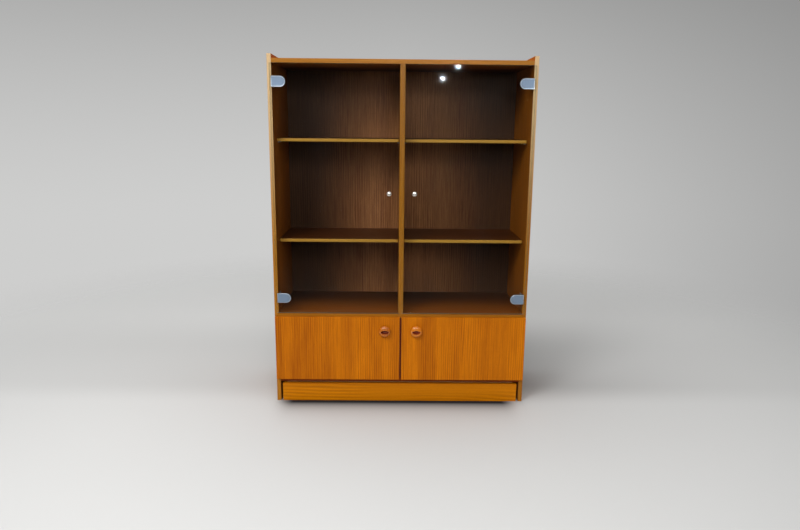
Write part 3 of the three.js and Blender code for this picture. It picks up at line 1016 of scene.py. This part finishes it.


# The two links between an arm and its cup, as straight straps cut along their length, and their rivets
def hingeLinks(kind, ends, body, hand):
    name = f"{kind}_hinge_links_{ends}"
    arm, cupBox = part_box(f"{kind}_hinge_arm_{ends}")[0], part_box(f"{kind}_hinge_cup_{ends}")[0]
    centre = middleOf(f"{kind}_hinge_cup_{ends}")
    z = centre.z
    armEnd = Vector((centre.x, arm.y + linkValues["armReach"][kind], z))
    cupEnd = Vector((centre.x, cupBox.y + linkValues["cupFloor"][kind], z))
    places = [centre.x + hand * linkValues["middle"][kind] + way * linkValues["spread"] for way in (-1, 1)]
    halfThick, halfTall = linkValues["thick"] / 2, linkValues["tall"] / 2
    straps = []
    for x in places:
        strap = block(
            "strap", (x - halfThick, cupEnd.y, z - halfTall), (x + halfThick, armEnd.y, z + halfTall),
        )
        softEdges(strap, linkValues["round"], 1)
        long = (armEnd.y - cupEnd.y) / 2
        pickEdges(strap, lambda a, b: abs(a.y - b.y) > long)
        bpy.ops.mesh.subdivide(number_cuts=linkValues["cuts"])
        leaveEdit()
        straps.append(strap)
    links = smoothed(dress(joined(name, straps), armSteel))
    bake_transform(links)
    radius, tall = linkValues["rivetRadius"], halfTall + linkValues["rivetProud"]
    for end, y, rider in (
        ("arm", armEnd.y - linkValues["rivetInArm"], "carcass"),
        ("cup", cupEnd.y + linkValues["rivetInCup"], body),
    ):
        rivets = [rod("pin", radius, (x, y, z - tall), (x, y, z + tall), 20) for x in places]
        for rivet in rivets:
            softEdges(rivet, linkValues["round"])
        fitted(dress(joined(f"{name}_rivets_{end}", rivets), steel), rider, "steel")


for side, hand in hands:
    for kind, body in (("glass", "glass_door_" + side), ("door", "cupboard_door_body_" + side)):
        for level in ("low", "high"):
            hingeLinks(kind, f"{level}_{side}", body, hand)


# Heads of the pins that hold the back panel in its rebates
def backPins():
    low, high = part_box("back_panel")
    inset, spacing = backPinValues["inset"], backPinValues["spacing"]
    radius, height = backPinValues["radius"], backPinValues["height"]
    profile = [(0, 0), (radius, 0), (radius * 0.8, height * 0.7), (0, height)]
    master = turned("pin", profile, 0, 0, 10)
    wide, tall = high.x - low.x - 2 * inset, high.z - low.z - 2 * inset
    columns, rows = round(wide / spacing), round(tall / spacing)
    spots = [(low.x + inset + wide * i / columns, z) for i in range(columns + 1)
             for z in (low.z + inset, high.z - inset)]
    spots += [(x, low.z + inset + tall * i / rows) for i in range(1, rows)
              for x in (low.x + inset, 0.0, high.x - inset)]
    pins = [placed(master, "pin", (x, high.y - backPinValues["sunk"], z)) for x, z in spots]
    bpy.data.objects.remove(master)
    return dress(joined("back_panel_pins", pins), steel)


fitted(backPins(), "carcass", "steel")
bpy.data.objects.remove(screwMaster)
print("fixings made")


stageValues = {
    "floorRadius": 3.4, "fadeFrom": 1.2, "paper": "cfcfce", "mottle": "bdbdbc",
    # darkening the floor to the right is painted shade
    "aside": 0.14, "asideFrom": -1.2, "asideTo": 2.0, "asideTone": "8c8c8c",  # the floor darkens to the right
}
# Shade on the floor: how strong it is, and how fast it fades with the distance in metres
contactValues = {
    "tone": "14161a", "share": 0.98, "frontFade": -20, "sideFade": -60, "backFade": -30,
    "frontReach": 0.018,
    "atEnds": 0.15, "pastEnd": 0.01, "leftEnd": 0.07, "rightEnd": 0.09,  # weaker at the two ends
}
shadeValues = {
    "tone": "101010", "left": 0.17, "right": 0.46, "leftFade": -0.55, "rightFade": -1.65, "turning": 0.3,
    "startFrom": -0.2, "startTo": 0.02, "endFrom": 0.45, "endTo": 1.1,  # along Y
}


# A round paper floor that fades into the backdrop
def floor():
    deselectAll()
    bpy.ops.mesh.primitive_circle_add(vertices=96, radius=stageValues["floorRadius"], fill_type="NGON")
    obj = settled("studio_floor")
    g = finish("studio paper")
    mottle = g.noise(g.place, 1.2, 3.0)
    fine = g.noise(g.place, 260.0, 2.0)
    colour = g.mixed(mottle * 0.12, paint(stageValues["paper"]), paint(stageValues["mottle"]))
    x, y = g.axis(g.place, "X"), g.axis(g.place, "Y")
    aside = g.between(x, stageValues["asideFrom"], stageValues["asideTo"]) * stageValues["aside"]
    # painted shade to the right
    colour = g.mixed(aside, colour, paint(stageValues["asideTone"]))

    def fading(rate):  # 1 at the bookcase, less with distance
        return g.maths("POWER", math.e, rate)

    low, high = cadBox
    frontFace = carcassFront - contactValues["frontReach"]
    left, right, front, behind = (
        g.maths("MAXIMUM", v, 0.0) for v in (low.x - x, x - high.x, frontFace - y, y - high.y)
    )
    past, atEnds = contactValues["pastEnd"], contactValues["atEnds"]
    leftEnd = g.between(x, low.x - past, low.x + contactValues["leftEnd"])
    rightEnd = 1 - g.between(x, high.x - contactValues["rightEnd"], high.x - past)
    contact = fading(
        front * contactValues["frontFade"] + (left + right) * contactValues["sideFade"]
        + behind * contactValues["backFade"]
    ) * (leftEnd * rightEnd * (1 - atEnds) + atEnds)
    leftShade = fading(left * shadeValues["leftFade"]) * shadeValues["left"]
    rightShade = fading(right * shadeValues["rightFade"]) * shadeValues["right"]
    turning = g.between(x, -shadeValues["turning"], shadeValues["turning"])
    along = g.between(y, shadeValues["startFrom"], shadeValues["startTo"])
    along = along * (1 - g.between(y, shadeValues["endFrom"], shadeValues["endTo"]))
    around = along * (leftShade * (1 - turning) + rightShade * turning)
    colour = g.mixed(around, colour, paint(shadeValues["tone"]))
    colour = g.mixed(contact * contactValues["share"], colour, paint(contactValues["tone"]))
    paper = g.node("ShaderNodeBsdfPrincipled", {}, {
        "Base Color": colour, "Roughness": g.clamped(fine * 0.1 + 0.85), "Normal": g.bump(fine, 0.0001, 0.2),
        "Specular IOR Level": 0.1,
    })
    away = g.between((x * x + y * y) ** 0.5, stageValues["fadeFrom"], stageValues["floorRadius"] * 0.98)
    gone = g.node("ShaderNodeBsdfTransparent")
    faded = g.node("ShaderNodeMixShader", {}, {0: away, 1: paper.outputs[0], 2: gone.outputs[0]})
    dress(obj, g.output(faded.outputs[0]))


# Backdrop: its brightness at the horizon, and how it falls off upwards and to the right
backdropValues = {
    "horizon": 0.617, "higher": 1.24, "higherFrom": -0.13, "highest": 0.4, "higherPower": 1.5,
    "aside": 0.8, "asidePower": 1.4,
}
airValues = {"low": 0.10, "high": 0.75}


# What the camera sees behind the floor, and a dimmer air that lights the object, brighter from above
def backdrop():
    g = Graph(bpy.data.worlds.new("studio air"), "Generated")
    up, aside = g.axis(g.place, "Z"), g.axis(g.place, "X")
    rise = g.maths("MINIMUM", g.clamped(up - backdropValues["higherFrom"]), backdropValues["highest"])
    rise = rise ** backdropValues["higherPower"] * backdropValues["higher"]
    dimmed = g.clamped(aside) ** backdropValues["asidePower"] * backdropValues["aside"]
    shown = (backdropValues["horizon"] - rise) * (1 - dimmed)
    air = g.between(up, 0.1, 0.9) * (airValues["high"] - airValues["low"]) + airValues["low"]
    seen = Value(g, g.node("ShaderNodeLightPath").outputs["Is Camera Ray"])
    strength = seen * shown + (1 - seen) * air
    light = g.node("ShaderNodeBackground", {}, {"Color": (1.0, 1.0, 0.99, 1.0), "Strength": strength})
    bpy.context.scene.world = g.output(light.outputs[0], "World")


softboxes = {  # place, point aimed at, size, power
    "key_softbox": ((-1.7, -2.8, 2.9), (0, 0, 0.6), (1.4, 1.2), 72.0),
    "front_softbox": ((0.2, -3.6, 2.2), (0, 0, 0.8), (2.0, 0.6), 31.0),
    "top_softbox": ((-0.4, 0.5, 4.5), (0, 0, 0), (2.4, 2.4), 52.0),
}
bulbs = {  # a pair of bare bulbs in front: place, radius, power
    "bulb_low": ((0.377, -3.4, 1.50), 0.022, 18.0),
    "bulb_high": ((0.503, -3.4, 1.607), 0.020, 16.0),
}


def lightUp(name, place, aim, size, power):
    deselectAll()
    bpy.ops.object.light_add(type="AREA", location=place)
    lamp = bpy.context.object
    lamp.name = name
    lamp.data.shape = "RECTANGLE"
    lamp.data.size, lamp.data.size_y = size
    lamp.data.energy = power
    lamp.rotation_euler = (Vector(aim) - Vector(place)).to_track_quat("-Z", "Y").to_euler()
    lamp.visible_camera = False


def hangBulb(name, place, radius, power):
    deselectAll()
    bpy.ops.object.light_add(type="POINT", radius=radius, location=place)
    lamp = bpy.context.object
    lamp.name = name
    lamp.data.energy = power
    lamp.visible_camera = False


floor()
backdrop()
for name, values in softboxes.items():
    lightUp(name, *values)
for name, values in bulbs.items():
    hangBulb(name, *values)

cameraValues = {
    "place": (-0.0292, -2.4643, 1.0999), "aside": 0.58, "down": 12.16, "roll": 0.55, "lens": 28.985,
}
deselectAll()
bpy.ops.object.camera_add(location=Vector(cameraValues["place"]) + Vector((0, carcassFront, 0)))
camera = bpy.context.object
camera.name = "camera"
camera.data.lens = cameraValues["lens"]
camera.data.sensor_width = 36
camera.data.dof.use_dof = False
camera.rotation_euler = (
    Matrix.Rotation(-math.radians(cameraValues["aside"]), 3, "Z")
    @ Matrix.Rotation(math.radians(90 - cameraValues["down"]), 3, "X")
    @ Matrix.Rotation(math.radians(cameraValues["roll"]), 3, "Z")
).to_euler()
bpy.context.scene.camera = camera
bpy.context.scene.view_settings.view_transform = "Standard"
print("stage set")
